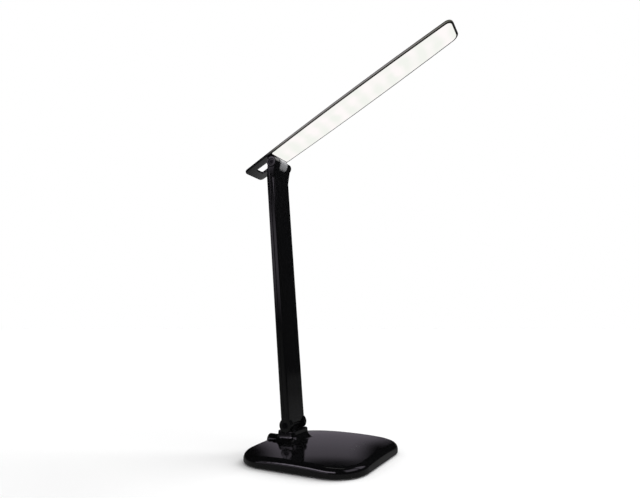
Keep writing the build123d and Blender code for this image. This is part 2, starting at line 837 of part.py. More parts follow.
def make_light_source():
    """Stepped diffuser on the frame's lip, and the long board with its two colours of lights."""
    centre = panel(head_rim + panel_gap, head_drop, lip_depth)
    flange = panel(
        head_rim - lip_width + panel_gap, head_drop + lip_depth, panel_thickness - lip_depth
    )
    with BuildPart() as diffuser:
        add(centre)
        add(flange)
    export(diffuser, "diffuser")

    board_start = panel_start + board_end_gap
    board_end = opening_end - board_end_gap
    board_middle = (board_start + board_end) / 2
    led_reach = board_end - board_start - led_pair_spacing - led_length - 2 * led_end_gap
    led_columns = 1 + int(led_reach / led_spacing)
    board_bottom = frame_top - board_thickness
    with BuildPart() as board:
        with BuildSketch(head_plan.offset(board_bottom)):
            with Locations((board_middle, 0)):
                Rectangle(board_end - board_start, board_width)
        extrude(amount=board_thickness)
    export(board, "led_board")

    for name, side in (("leds_cool", -1), ("leds_warm", 1)):
        with BuildPart() as leds:
            with BuildSketch(head_plan.offset(board_bottom)):
                with Locations((board_middle + side * led_pair_spacing / 2, 0)):
                    with GridLocations(led_spacing, led_spacing_across, led_columns, led_rows):
                        Rectangle(led_length, led_width)
            extrude(amount=-led_height)
        export(leds, name)


def main():
    os.makedirs("parts", exist_ok=True)
    make_base_cover()
    make_base_underside()
    make_touch_dimmer()
    make_power_inlet()
    make_hinge_leaf()
    make_hinge_hardware(
        "lower", arm_side, lower_ear_inner, half_width, lower_washer_radius,
        lower_cap_radius, lower_cap_thickness, lower_cap_thickness,
    )
    make_hinge_hardware(
        "upper", fork_side, fork_half_gap, fork_outer, upper_washer_radius,
        upper_cap_radius, upper_cap_recess, upper_cap_thickness,
    )
    make_arm_shells()
    make_arm_inside()
    make_head()
    make_light_source()


main()
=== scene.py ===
import json
import math

import bmesh
import bpy
from mathutils import Matrix, Vector


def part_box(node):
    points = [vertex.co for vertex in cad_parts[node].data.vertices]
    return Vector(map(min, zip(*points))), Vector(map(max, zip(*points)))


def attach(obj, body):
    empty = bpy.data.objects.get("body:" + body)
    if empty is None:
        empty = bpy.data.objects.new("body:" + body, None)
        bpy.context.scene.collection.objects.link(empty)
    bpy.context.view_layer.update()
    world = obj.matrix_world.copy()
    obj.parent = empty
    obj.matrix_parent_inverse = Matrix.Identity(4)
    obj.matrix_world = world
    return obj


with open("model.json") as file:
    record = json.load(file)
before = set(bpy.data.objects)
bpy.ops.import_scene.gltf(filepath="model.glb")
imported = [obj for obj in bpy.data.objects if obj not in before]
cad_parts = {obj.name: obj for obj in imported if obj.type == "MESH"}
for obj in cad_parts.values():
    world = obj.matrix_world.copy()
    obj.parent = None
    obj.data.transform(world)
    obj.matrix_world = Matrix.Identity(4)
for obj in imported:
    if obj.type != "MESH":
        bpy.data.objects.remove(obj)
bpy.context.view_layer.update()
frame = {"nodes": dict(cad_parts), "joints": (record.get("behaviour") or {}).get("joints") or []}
parts = frame["nodes"]


# Base cover: one thin ABS moulding with a crowned top, the hinge block and the inlet housing.
# Its tool is polished, so it comes out black and mirror-like. Flow ripples some 26 mm across,
# wiping marks and specks of dust under 0.5 mm show where something bright is reflected.
def linear(code):
    """Linear colour and full alpha of an sRGB hex code."""
    channels = [int(code[i : i + 2], 16) / 255 for i in (1, 3, 5)]
    curve = [c / 12.92 if c <= 0.04045 else ((c + 0.055) / 1.055) ** 2.4 for c in channels]
    return (*curve, 1.0)


def add_node(tree, kind, sockets, **settings):
    """A new node; a socket among the values is linked, and any other value is set."""
    made = tree.nodes.new(kind)
    for name, value in settings.items():
        setattr(made, name, value)
    for name, value in sockets.items():
        if isinstance(value, bpy.types.NodeSocket):
            tree.links.new(value, made.inputs[name])
        else:
            made.inputs[name].default_value = value
    return made


def new_material(name):
    """An empty material and its node tree."""
    material = bpy.data.materials.new(name)
    material.use_nodes = True
    material.node_tree.nodes.clear()
    return material, material.node_tree


def finish_with(material, *names):
    """Gives the named CAD pieces this material."""
    for name in names:
        for part_slot in parts[name].material_slots:
            part_slot.material = material


def polished_black(name, wiped):
    """Polished black ABS; wiped is the number of cloth marks to a metre along x, y and z."""
    material, tree = new_material(name)
    place = add_node(tree, "ShaderNodeTexCoord", {}).outputs["Object"]
    ripple = add_node(
        tree, "ShaderNodeTexNoise", {"Vector": place, "Scale": 38.0, "Detail": 2.0}
    ).outputs["Fac"]
    strokes = add_node(
        tree, "ShaderNodeMapping", {"Vector": place, "Scale": wiped}
    ).outputs["Vector"]
    marks = add_node(
        tree, "ShaderNodeTexNoise", {"Vector": strokes, "Scale": 1.0, "Detail": 4.0}
    ).outputs["Fac"]
    gloss = add_node(
        tree,
        "ShaderNodeMapRange",
        {"Value": marks, "From Min": 0.35, "From Max": 0.75, "To Min": 0.06, "To Max": 0.11},
    ).outputs["Result"]
    dust = add_node(
        tree, "ShaderNodeTexVoronoi", {"Vector": place, "Scale": 260.0}
    ).outputs["Distance"]
    speck = add_node(
        tree,
        "ShaderNodeMapRange",
        {"Value": dust, "From Min": 0.035, "From Max": 0.055, "To Min": 0.35, "To Max": 0.0},
    ).outputs["Result"]
    colour = add_node(
        tree,
        "ShaderNodeMix",
        {"Factor": speck, "A": linear("#0B0B0C"), "B": linear("#2E2E2F")},
        data_type="RGBA",
    ).outputs["Result"]
    bump = add_node(
        tree, "ShaderNodeBump", {"Height": ripple, "Strength": 0.04, "Distance": 0.0004}
    ).outputs["Normal"]
    plastic = add_node(
        tree,
        "ShaderNodeBsdfPrincipled",
        {"Base Color": colour, "Roughness": gloss, "IOR": 1.5, "Normal": bump},
    )
    add_node(tree, "ShaderNodeOutputMaterial", {"Surface": plastic.outputs["BSDF"]})
    return material


finish_with(polished_black("polished black ABS, base", (700.0, 90.0, 90.0)), "base_cover")


# Touch marks: three small rings with a dot, printed in grey ink over the contact springs.
# The ink is a few hundredths of a millimetre thick and follows the crown of the cover.
ink, tree = new_material("grey pad-printing ink")
place = add_node(tree, "ShaderNodeTexCoord", {}).outputs["Object"]
screen = add_node(
    tree, "ShaderNodeTexNoise", {"Vector": place, "Scale": 5200.0, "Detail": 2.0}
).outputs["Fac"]
shade = add_node(
    tree,
    "ShaderNodeMix",
    {"Factor": screen, "A": linear("#474749"), "B": linear("#59595B")},
    data_type="RGBA",
).outputs["Result"]
film = add_node(
    tree, "ShaderNodeBsdfPrincipled", {"Base Color": shade, "Roughness": 0.3, "IOR": 1.5}
)
add_node(tree, "ShaderNodeOutputMaterial", {"Surface": film.outputs["BSDF"]})

ink_thickness = 0.00004
ring_inner = 0.0015
ring_outer = 0.0019
dot_radius = 0.0004
mark_pitch = 0.013
crown_radius = 0.6492
cover_top = 0.0156
spring_low, spring_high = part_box("touch_springs")
mark_x = (spring_low[0] + spring_high[0]) / 2
printing = bmesh.new()
for mark_y in (-mark_pitch, 0.0, mark_pitch):
    seat = Matrix.Translation((mark_x, mark_y, 0.0))
    outlines = []
    for radius in (ring_inner, ring_outer):
        circle = bmesh.ops.create_circle(printing, segments=40, radius=radius, matrix=seat)
        outlines += list({edge for vert in circle["verts"] for edge in vert.link_edges})
    bmesh.ops.bridge_loops(printing, edges=outlines)
    bmesh.ops.create_circle(
        printing, cap_ends=True, segments=20, radius=dot_radius, matrix=seat
    )
raised = bmesh.ops.extrude_face_region(printing, geom=printing.faces[:])
bmesh.ops.translate(
    printing,
    vec=(0.0, 0.0, 2 * ink_thickness),
    verts=[item for item in raised["geom"] if isinstance(item, bmesh.types.BMVert)],
)
bmesh.ops.recalc_face_normals(printing, faces=printing.faces)
for vert in printing.verts:
    off_middle_squared = vert.co.x**2 + vert.co.y**2
    crown_height = cover_top - crown_radius + math.sqrt(crown_radius**2 - off_middle_squared)
    vert.co.z += crown_height - ink_thickness
sheet = bpy.data.meshes.new("touch_marks")
printing.to_mesh(sheet)
printing.free()
sheet.materials.append(ink)
touch_marks = bpy.data.objects.new("touch_marks", sheet)
bpy.context.scene.collection.objects.link(touch_marks)
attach(touch_marks, "base")


# Base plate: the flat ABS underside of the base, screwed up into the cover.
# Its tool is spark-eroded, which leaves an even, fine, matt grain about 0.3 mm across.
eroded_abs, tree = new_material("spark-eroded black ABS")
place = add_node(tree, "ShaderNodeTexCoord", {}).outputs["Object"]
grain = add_node(
    tree, "ShaderNodeTexNoise", {"Vector": place, "Scale": 3300.0, "Detail": 3.0}
).outputs["Fac"]
sheen = add_node(
    tree,
    "ShaderNodeMapRange",
    {"Value": grain, "From Min": 0.3, "From Max": 0.7, "To Min": 0.5, "To Max": 0.66},
).outputs["Result"]
relief = add_node(
    tree, "ShaderNodeBump", {"Height": grain, "Strength": 0.5, "Distance": 0.00004}
).outputs["Normal"]
tint = add_node(
    tree,
    "ShaderNodeMix",
    {"Factor": grain, "A": linear("#131314"), "B": linear("#1C1C1D")},
    data_type="RGBA",
).outputs["Result"]
plastic = add_node(
    tree,
    "ShaderNodeBsdfPrincipled",
    {"Base Color": tint, "Roughness": sheen, "IOR": 1.5, "Normal": relief},
)
add_node(tree, "ShaderNodeOutputMaterial", {"Surface": plastic.outputs["BSDF"]})
finish_with(eroded_abs, "base_plate")


# Base pad: a die-cut sheet of closed-cell EVA foam, stuck on so that the lamp doesn't slide.
# It is dull black, with cut bubbles about 0.5 mm across and a little grey dust.
foam, tree = new_material("closed-cell EVA foam")
place = add_node(tree, "ShaderNodeTexCoord", {}).outputs["Object"]
cells = add_node(
    tree, "ShaderNodeTexVoronoi", {"Vector": place, "Scale": 2000.0}
).outputs["Distance"]
dusty = add_node(
    tree, "ShaderNodeTexNoise", {"Vector": place, "Scale": 55.0, "Detail": 5.0}
).outputs["Fac"]
tint = add_node(
    tree,
    "ShaderNodeMix",
    {"Factor": dusty, "A": linear("#141415"), "B": linear("#262627")},
    data_type="RGBA",
).outputs["Result"]
pits = add_node(
    tree, "ShaderNodeBump", {"Height": cells, "Strength": 0.6, "Distance": 0.0001}
).outputs["Normal"]
rubber = add_node(
    tree,
    "ShaderNodeBsdfPrincipled",
    {"Base Color": tint, "Roughness": 0.9, "IOR": 1.5, "Normal": pits},
)
add_node(tree, "ShaderNodeOutputMaterial", {"Surface": rubber.outputs["BSDF"]})
finish_with(foam, "base_pad")


# Ballast plate and arm spine: punched sheet steel, zinc plated, for weight and stiffness.
# The plating is bluish grey, with rolling lines about 1 mm apart showing through it.
plated_sheet, tree = new_material("zinc-plated sheet steel")
place = add_node(tree, "ShaderNodeTexCoord", {}).outputs["Object"]
rolled = add_node(
    tree, "ShaderNodeMapping", {"Vector": place, "Scale": (25.0, 1000.0, 25.0)}
).outputs["Vector"]
lines = add_node(
    tree, "ShaderNodeTexNoise", {"Vector": rolled, "Scale": 1.0, "Detail": 3.0}
).outputs["Fac"]
bloom = add_node(
    tree, "ShaderNodeTexNoise", {"Vector": place, "Scale": 160.0, "Detail": 3.0}
).outputs["Fac"]
tint = add_node(
    tree,
    "ShaderNodeMix",
    {"Factor": bloom, "A": linear("#A9ACB0"), "B": linear("#C3C5C6")},
    data_type="RGBA",
).outputs["Result"]
dulled = add_node(
    tree,
    "ShaderNodeMapRange",
    {"Value": lines, "From Min": 0.3, "From Max": 0.7, "To Min": 0.26, "To Max": 0.42},
).outputs["Result"]
relief = add_node(
    tree, "ShaderNodeBump", {"Height": lines, "Strength": 0.3, "Distance": 0.00002}
).outputs["Normal"]
metal = add_node(
    tree,
    "ShaderNodeBsdfPrincipled",
    {"Base Color": tint, "Metallic": 1.0, "Roughness": dulled, "Normal": relief},
)
add_node(tree, "ShaderNodeOutputMaterial", {"Surface": metal.outputs["BSDF"]})
finish_with(plated_sheet, "ballast_plate", "arm_spine")


# Screws of the base, the board, the hinge leaf and the head: cold-headed steel, zinc plated.
# Heading leaves a fine mottle about 0.4 mm across on the bright metal.
plated_screw, tree = new_material("bright zinc on steel screws")
place = add_node(tree, "ShaderNodeTexCoord", {}).outputs["Object"]
mottle = add_node(
    tree, "ShaderNodeTexNoise", {"Vector": place, "Scale": 2500.0, "Detail": 2.0}
).outputs["Fac"]
dulled = add_node(
    tree,
    "ShaderNodeMapRange",
    {"Value": mottle, "From Min": 0.3, "From Max": 0.7, "To Min": 0.2, "To Max": 0.38},
).outputs["Result"]
relief = add_node(
    tree, "ShaderNodeBump", {"Height": mottle, "Strength": 0.3, "Distance": 0.00003}
).outputs["Normal"]
metal = add_node(
    tree,
    "ShaderNodeBsdfPrincipled",
    {"Base Color": linear("#BFC1C4"), "Metallic": 1.0, "Roughness": dulled, "Normal": relief},
)
add_node(tree, "ShaderNodeOutputMaterial", {"Surface": metal.outputs["BSDF"]})
finish_with(plated_screw, "base_screws", "board_screws", "knuckle_screws", "head_screws")


# Control board: glass-fibre laminate under green solder mask, with its tracks just showing.
# The pattern is in millimetres: tracks 0.12 mm wide, 1.7 mm apart.
solder_mask, tree = new_material("green solder mask on laminate")
place = add_node(tree, "ShaderNodeTexCoord", {}).outputs["Object"]
tracks = add_node(
    tree,
    "ShaderNodeTexBrick",
    {
        "Vector": place,
        "Color1": linear("#134A28"),
        "Color2": linear("#16552E"),
        "Mortar": linear("#2F7D49"),
        "Scale": 1000.0,
        "Mortar Size": 0.12,
        "Brick Width": 6.2,
        "Row Height": 1.7,
    },
    offset=0.37,
)
relief = add_node(
    tree,
    "ShaderNodeBump",
    {"Height": tracks.outputs["Fac"], "Strength": 0.4, "Distance": 0.00003},
).outputs["Normal"]
mask = add_node(
    tree,
    "ShaderNodeBsdfPrincipled",
    {"Base Color": tracks.outputs["Color"], "Roughness": 0.3, "IOR": 1.5, "Normal": relief},
)
add_node(tree, "ShaderNodeOutputMaterial", {"Surface": mask.outputs["BSDF"]})
finish_with(solder_mask, "control_board")


# Board parts, spacers and the body of the socket: epoxy and nylon mouldings, matt charcoal.
# Glass filler leaves a faint cloudy grain about 0.6 mm across.
filled_moulding, tree = new_material("glass-filled black moulding")
place = add_node(tree, "ShaderNodeTexCoord", {}).outputs["Object"]
cloud = add_node(
    tree, "ShaderNodeTexNoise", {"Vector": place, "Scale": 1600.0, "Detail": 3.0}
).outputs["Fac"]
tint = add_node(
    tree,
    "ShaderNodeMix",
    {"Factor": cloud, "A": linear("#18181A"), "B": linear("#262628")},
    data_type="RGBA",
).outputs["Result"]
relief = add_node(
    tree, "ShaderNodeBump", {"Height": cloud, "Strength": 0.35, "Distance": 0.00003}
).outputs["Normal"]
plastic = add_node(
    tree,
    "ShaderNodeBsdfPrincipled",
    {"Base Color": tint, "Roughness": 0.48, "IOR": 1.5, "Normal": relief},
)
add_node(tree, "ShaderNodeOutputMaterial", {"Surface": plastic.outputs["BSDF"]})
finish_with(filled_moulding, "board_parts", "board_spacers", "power_jack")


# Touch springs: coils of gold-plated phosphor bronze wire that press on the cover's inside.
# Each coil shows as a ring, one every 0.6 mm of height, with painted shade in the grooves
# between rings.
coiled_wire, tree = new_material("gold-plated spring wire")
place = add_node(tree, "ShaderNodeTexCoord", {}).outputs["Object"]
coils = add_node(
    tree, "ShaderNodeTexWave", {"Vector": place, "Scale": 525.0}, bands_direction="Z"
).outputs["Fac"]
# The darker gold is painted shade between the coils; the lighter gold is the plating itself.
tint = add_node(
    tree,
    "ShaderNodeMix",
    {"Factor": coils, "A": linear("#7A5A22"), "B": linear("#D8AE5A")},
    data_type="RGBA",
).outputs["Result"]
relief = add_node(
    tree, "ShaderNodeBump", {"Height": coils, "Strength": 0.8, "Distance": 0.0002}
).outputs["Normal"]
metal = add_node(
    tree,
    "ShaderNodeBsdfPrincipled",
    {"Base Color": tint, "Metallic": 1.0, "Roughness": 0.28, "Normal": relief},
)
add_node(tree, "ShaderNodeOutputMaterial", {"Surface": metal.outputs["BSDF"]})
finish_with(coiled_wire, "touch_springs")


# Socket pin: turned brass, nickel plated, warm white and bright, with faint tool rings.
# The rings are 0.4 mm apart along the pin, coarser than real ones so that they can show.
nickel, tree = new_material("nickel-plated turned brass")
place = add_node(tree, "ShaderNodeTexCoord", {}).outputs["Object"]
rings = add_node(
    tree, "ShaderNodeTexWave", {"Vector": place, "Scale": 785.0}, bands_direction="X"
).outputs["Fac"]
dulled = add_node(
    tree, "ShaderNodeMapRange", {"Value": rings, "To Min": 0.14, "To Max": 0.26}
).outputs["Result"]
metal = add_node(
    tree,
    "ShaderNodeBsdfPrincipled",
    {"Base Color": linear("#CFCABF"), "Metallic": 1.0, "Roughness": dulled},
)
add_node(tree, "ShaderNodeOutputMaterial", {"Surface": metal.outputs["BSDF"]})
finish_with(nickel, "jack_pin")


# Hinge leaf: thick pressed steel with a rolled barrel, dipped in black paint and baked.
# The paint is satin, with an orange-peel surface about 1.5 mm across.
baked_paint, tree = new_material("baked black paint on steel")
place = add_node(tree, "ShaderNodeTexCoord", {}).outputs["Object"]
peel = add_node(
    tree, "ShaderNodeTexNoise", {"Vector": place, "Scale": 650.0, "Detail": 1.0}
).outputs["Fac"]
sheen = add_node(
    tree,
    "ShaderNodeMapRange",
    {"Value": peel, "From Min": 0.3, "From Max": 0.7, "To Min": 0.32, "To Max": 0.44},
).outputs["Result"]
relief = add_node(
    tree, "ShaderNodeBump", {"Height": peel, "Strength": 0.3, "Distance": 0.00006}
).outputs["Normal"]
paint = add_node(
    tree,
    "ShaderNodeBsdfPrincipled",
    {"Base Color": linear("#101011"), "Roughness": sheen, "IOR": 1.5, "Normal": relief},
)
add_node(tree, "ShaderNodeOutputMaterial", {"Surface": paint.outputs["BSDF"]})
finish_with(baked_paint, "base_knuckle")


# Hinge shafts and washers: ground steel rod, and rings stamped from spring steel.
# Grinding runs round the shaft, so its lines are fine along the hinge axis and long around it.
ground_steel, tree = new_material("ground steel")
place = add_node(tree, "ShaderNodeTexCoord", {}).outputs["Object"]
around = add_node(
    tree, "ShaderNodeMapping", {"Vector": place, "Scale": (60.0, 4500.0, 60.0)}
).outputs["Vector"]
lines = add_node(
    tree, "ShaderNodeTexNoise", {"Vector": around, "Scale": 1.0, "Detail": 2.0}
).outputs["Fac"]
dulled = add_node(
    tree,
    "ShaderNodeMapRange",
    {"Value": lines, "From Min": 0.3, "From Max": 0.7, "To Min": 0.18, "To Max": 0.34},
).outputs["Result"]
metal = add_node(
    tree,
    "ShaderNodeBsdfPrincipled",
    {"Base Color": linear("#A8A6A3"), "Metallic": 1.0, "Roughness": dulled},
)
add_node(tree, "ShaderNodeOutputMaterial", {"Surface": metal.outputs["BSDF"]})
finish_with(ground_steel, "lower_shaft", "lower_washers", "upper_shaft", "upper_washers")


# Screw caps of both hinges and the arm's screws: steel with a black oxide finish.
# Oiled oxide is nearly black, worn a little lighter in blotches about 1 mm across.
black_oxide, tree = new_material("oiled black oxide on steel")
place = add_node(tree, "ShaderNodeTexCoord", {}).outputs["Object"]
blotches = add_node(
    tree, "ShaderNodeTexNoise", {"Vector": place, "Scale": 950.0, "Detail": 4.0}
).outputs["Fac"]
worn = add_node(
    tree, "ShaderNodeMapRange", {"Value": blotches, "From Min": 0.45, "From Max": 0.75}
).outputs["Result"]
tint = add_node(
    tree,
    "ShaderNodeMix",
    {"Factor": worn, "A": linear("#1E1E20"), "B": linear("#3C3B3C")},
    data_type="RGBA",
).outputs["Result"]
metal = add_node(
    tree, "ShaderNodeBsdfPrincipled", {"Base Color": tint, "Metallic": 1.0, "Roughness": 0.34}
)
add_node(tree, "ShaderNodeOutputMaterial", {"Surface": metal.outputs["BSDF"]})
finish_with(black_oxide, "lower_caps", "upper_caps", "arm_screws")


# Arm: two half shells of the same polished ABS as the base, screwed together from behind.
# They meet in a fine groove along the middle of each narrow side, and are dusted up and down.
# The shells' edges roll in a little there, which a bump gives.
arm_plastic = polished_black("polished black ABS, arm", (500.0, 500.0, 45.0))
tree = arm_plastic.node_tree
arm_hinge = next(
    Vector(joint["pos_m"]) for joint in frame["joints"] if joint["child"] == "arm"
)
arm_lean = math.radians(5.0)
rolled_width = 0.0006
rolled_depth = 0.0003
arm_forward = Vector((math.cos(arm_lean), 0.0, math.sin(arm_lean)))
place = add_node(tree, "ShaderNodeTexCoord", {}).outputs["Object"]
depth = add_node(
    tree, "ShaderNodeVectorMath", {0: place, 1: tuple(arm_forward)}, operation="DOT_PRODUCT"
).outputs["Value"]
off_seam = add_node(
    tree, "ShaderNodeMath", {0: depth, 1: arm_hinge.dot(arm_forward)}, operation="SUBTRACT"
).outputs[0]
off_seam = add_node(tree, "ShaderNodeMath", {0: off_seam}, operation="ABSOLUTE").outputs[0]
rolled_edge = add_node(
    tree,
    "ShaderNodeMapRange",
    {"Value": off_seam, "From Max": rolled_width},
    interpolation_type="SMOOTHSTEP",
).outputs["Result"]
flat_surface = next(found for found in tree.nodes if found.type == "BUMP")
edge_bump = add_node(
    tree,
    "ShaderNodeBump",
    {
        "Height": rolled_edge,
        "Strength": 1.0,
        "Distance": rolled_depth,
        "Normal": flat_surface.outputs["Normal"],
    },
)
moulded = next(found for found in tree.nodes if found.type == "BSDF_PRINCIPLED")
tree.links.new(edge_bump.outputs["Normal"], moulded.inputs["Normal"])
finish_with(arm_plastic, "arm_front_shell", "arm_rear_shell")


# Lead inside the arm: flat two-core cable with a soft PVC jacket, dark grey and slightly shiny.
# Extrusion leaves fine lines along it, about 0.3 mm apart.
jacket, tree = new_material("extruded soft PVC")
place = add_node(tree, "ShaderNodeTexCoord", {}).outputs["Object"]
along = add_node(
    tree, "ShaderNodeMapping", {"Vector": place, "Scale": (3300.0, 3300.0, 30.0)}
).outputs["Vector"]
lines = add_node(
    tree, "ShaderNodeTexNoise", {"Vector": along, "Scale": 1.0, "Detail": 2.0}
).outputs["Fac"]
relief = add_node(
    tree, "ShaderNodeBump", {"Height": lines, "Strength": 0.3, "Distance": 0.00003}
).outputs["Normal"]
soft = add_node(
    tree,
    "ShaderNodeBsdfPrincipled",
    {"Base Color": linear("#303032"), "Roughness": 0.42, "IOR": 1.5, "Normal": relief},
)
add_node(tree, "ShaderNodeOutputMaterial", {"Surface": soft.outputs["BSDF"]})
finish_with(jacket, "arm_lead")


# Head knuckle: a block of dark grey ABS screwed under the head, which the arm's fork clamps.
# Its tool is only fine-blasted, so it is satin. Its mid-grey colour is painted lighter than the
# plastic, as painted light from the lit panel above.
satin_abs, tree = new_material("fine-blasted grey ABS, painted lighter")
place = add_node(tree, "ShaderNodeTexCoord", {}).outputs["Object"]
blasted = add_node(
    tree, "ShaderNodeTexNoise", {"Vector": place, "Scale": 2600.0, "Detail": 2.0}
).outputs["Fac"]
sheen = add_node(
    tree,
    "ShaderNodeMapRange",
    {"Value": blasted, "From Min": 0.3, "From Max": 0.7, "To Min": 0.24, "To Max": 0.36},
).outputs["Result"]
relief = add_node(
    tree, "ShaderNodeBump", {"Height": blasted, "Strength": 0.3, "Distance": 0.00002}
).outputs["Normal"]
plastic = add_node(
    tree,
    "ShaderNodeBsdfPrincipled",
    # Painted light: this base colour is lighter than the dark grey plastic, standing in for the
    # panel's light on it.
    {"Base Color": linear("#767678"), "Roughness": sheen, "IOR": 1.5, "Normal": relief},
)
add_node(tree, "ShaderNodeOutputMaterial", {"Surface": plastic.outputs["BSDF"]})
finish_with(satin_abs, "head_knuckle")


# Head frame and cover: thin mouldings of the same polished ABS, glued along the head's edge.
# Beside the panel a warm glow is painted on as emission, on the frame's thin black side wall,
# between its lower edge and the glue line. The distances are in metres from the hinge's axis.
head_tilt = math.radians(26.1)
# Strength of the painted glow on the frame's side wall, where it is strongest.
most_painted_glow = 0.13
along_head = Vector((math.cos(head_tilt), 0.0, math.sin(head_tilt)))
off_head = Vector((-math.sin(head_tilt), 0.0, math.cos(head_tilt)))
head_hinge = next(
    Vector(joint["pos_m"]) for joint in frame["joints"] if joint["child"] == "head"
)
head_black_with_painted_glow = polished_black("polished black ABS, head, with painted glow", (90.0, 700.0, 90.0))
tree = head_black_with_painted_glow.node_tree
place = add_node(tree, "ShaderNodeTexCoord", {}).outputs["Object"]
from_hinge = add_node(
    tree, "ShaderNodeVectorMath", {0: place, 1: tuple(head_hinge)}, operation="SUBTRACT"
).outputs["Vector"]
# Painted glow: a warm emission on the black frame beside the panel, where there is no lamp.
painted_glow = most_painted_glow
for direction, dark, light in (
    (along_head, -0.002, 0.016),  # forward from the tail
    (off_head, 0.0088, 0.0094),  # up from the lower edge
    (off_head, 0.0109, 0.0103),  # down from the glue line
):
    reach = add_node(
        tree,
        "ShaderNodeVectorMath",
        {0: from_hinge, 1: tuple(direction)},
        operation="DOT_PRODUCT",
    ).outputs["Value"]
    inside = add_node(
        tree, "ShaderNodeMapRange", {"Value": reach, "From Min": dark, "From Max": light}
    ).outputs["Result"]
    painted_glow = add_node(
        tree, "ShaderNodeMath", {0: inside, 1: painted_glow}, operation="MULTIPLY"
    ).outputs[0]
moulded = next(found for found in tree.nodes if found.type == "BSDF_PRINCIPLED")
moulded.inputs["Emission Color"].default_value = linear("#FFFCE6")
tree.links.new(painted_glow, moulded.inputs["Emission Strength"])
finish_with(head_black_with_painted_glow, "head_frame", "head_cover")


# Diffuser: a step-edged plate of opal acrylic, lit by pairs of cool and warm lights behind it.
# It evens them out to weak tinted patches, one pair to each 19.6 mm, which clouds some 20 mm
# across make uneven. The area light is what it throws on the arm and base, and isn't seen.
panel_middle = 0.1219
panel_light_height = 0.0083
light_pitch = 0.0196
patch_width = 0.050
wave_start = head_hinge.dot(along_head) + panel_middle + light_pitch / 2
opal, tree = new_material("opal acrylic, lit")
place = add_node(tree, "ShaderNodeTexCoord", {}).outputs["Object"]
reach = add_node(
    tree, "ShaderNodeVectorMath", {0: place, 1: tuple(along_head)}, operation="DOT_PRODUCT"
).outputs["Value"]
column_turn = add_node(
    tree,
    "ShaderNodeMath",
    {
        0: reach,
        1: 2 * math.pi / light_pitch,
        2: -2 * math.pi * wave_start / light_pitch,
    },
    operation="MULTIPLY_ADD",
).outputs[0]
columns = add_node(tree, "ShaderNodeMath", {0: column_turn}, operation="SINE").outputs[0]
sideways = add_node(tree, "ShaderNodeSeparateXYZ", {"Vector": place}).outputs["Y"]
across_turn = add_node(
    tree, "ShaderNodeMath", {0: sideways, 1: math.pi / patch_width}, operation="MULTIPLY"
).outputs[0]
across = add_node(tree, "ShaderNodeMath", {0: across_turn}, operation="COSINE").outputs[0]
patches = add_node(
    tree, "ShaderNodeMath", {0: columns, 1: across}, operation="MULTIPLY"
).outputs[0]
cloud = add_node(
    tree, "ShaderNodeTexNoise", {"Vector": place, "Scale": 50.0, "Detail": 1.0}
).outputs["Fac"]
uneven = add_node(
    tree,
    "ShaderNodeMapRange",
    {"Value": cloud, "From Min": 0.35, "From Max": 0.65, "To Min": -0.9, "To Max": 0.9},
).outputs["Result"]
patches = add_node(
    tree, "ShaderNodeMath", {0: patches, 1: uneven}, operation="ADD"
).outputs[0]
warmth = add_node(
    tree, "ShaderNodeMapRange", {"Value": patches, "From Min": -1.2, "From Max": 1.2}
).outputs["Result"]
glow = add_node(
    tree,
    "ShaderNodeMix",
    {"Factor": warmth, "A": linear("#F3F5EF"), "B": linear("#FFFAF9")},
    data_type="RGBA",
).outputs["Result"]
lit = add_node(tree, "ShaderNodeEmission", {"Color": glow, "Strength": 1.0})
add_node(tree, "ShaderNodeOutputMaterial", {"Surface": lit.outputs["Emission"]})
finish_with(opal, "diffuser")

panel_data = bpy.data.lights.new("panel light", "AREA")
panel_data.shape = "RECTANGLE"
panel_data.size = 0.23
panel_data.size_y = 0.034
panel_data.energy = 0.09
panel_light = bpy.data.objects.new("panel light", panel_data)
panel_light.matrix_world = (
    Matrix.Translation(head_hinge + along_head * panel_middle + off_head * panel_light_height)
    @ Matrix.Rotation(-head_tilt, 4, "Y")
)
bpy.context.scene.collection.objects.link(panel_light)
panel_light.visible_camera = False
panel_light.visible_glossy = False
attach(panel_light, "head")


# Light board: laminate under white solder mask, which throws stray light back at the diffuser.
# The pattern is in centimetres: tracks 0.3 mm wide show through, in cells of 17.6 by 7 mm.
white_mask, tree = new_material("white solder mask on laminate")
place = add_node(tree, "ShaderNodeTexCoord", {}).outputs["Object"]
tracks = add_node(
    tree,
    "ShaderNodeTexBrick",
    {
        "Vector": place,
        "Color1": linear("#ECEDEB"),
        "Color2": linear("#E8E9E7"),
        "Mortar": linear("#DED9CC"),
        "Scale": 100.0,
        "Mortar Size": 0.03,
        "Brick Width": 1.76,
        "Row Height": 0.7,
    },
)
relief = add_node(
    tree,
    "ShaderNodeBump",
    {"Height": tracks.outputs["Fac"], "Strength": 0.3, "Distance": 0.00003},
).outputs["Normal"]
mask = add_node(
    tree,
    "ShaderNodeBsdfPrincipled",
    {"Base Color": tracks.outputs["Color"], "Roughness": 0.4, "IOR": 1.5, "Normal": relief},
)
add_node(tree, "ShaderNodeOutputMaterial", {"Surface": mask.outputs["BSDF"]})
finish_with(white_mask, "led_board")


# Lights on the board: small cups filled with silicone that carries yellow phosphor.
# Warm ones hold more of it and look orange, cool ones lemon, both with a powdery grain.
for name, pale, deep in (
    ("leds_cool", "#EFEBA6", "#E2DC7C"),
    ("leds_warm", "#F4C36A", "#E79F3C"),
):
    phosphor, tree = new_material("phosphor in silicone, " + name.removeprefix("leds_"))
    place = add_node(tree, "ShaderNodeTexCoord", {}).outputs["Object"]
    powder = add_node(
        tree, "ShaderNodeTexNoise", {"Vector": place, "Scale": 3000.0, "Detail": 3.0}
    ).outputs["Fac"]
    tint = add_node(
        tree,
        "ShaderNodeMix",
        {"Factor": powder, "A": linear(pale), "B": linear(deep)},
        data_type="RGBA",
    ).outputs["Result"]
    gel = add_node(
        tree, "ShaderNodeBsdfPrincipled", {"Base Color": tint, "Roughness": 0.3, "IOR": 1.42}
    )
    add_node(tree, "ShaderNodeOutputMaterial", {"Surface": gel.outputs["BSDF"]})
    finish_with(phosphor, name)


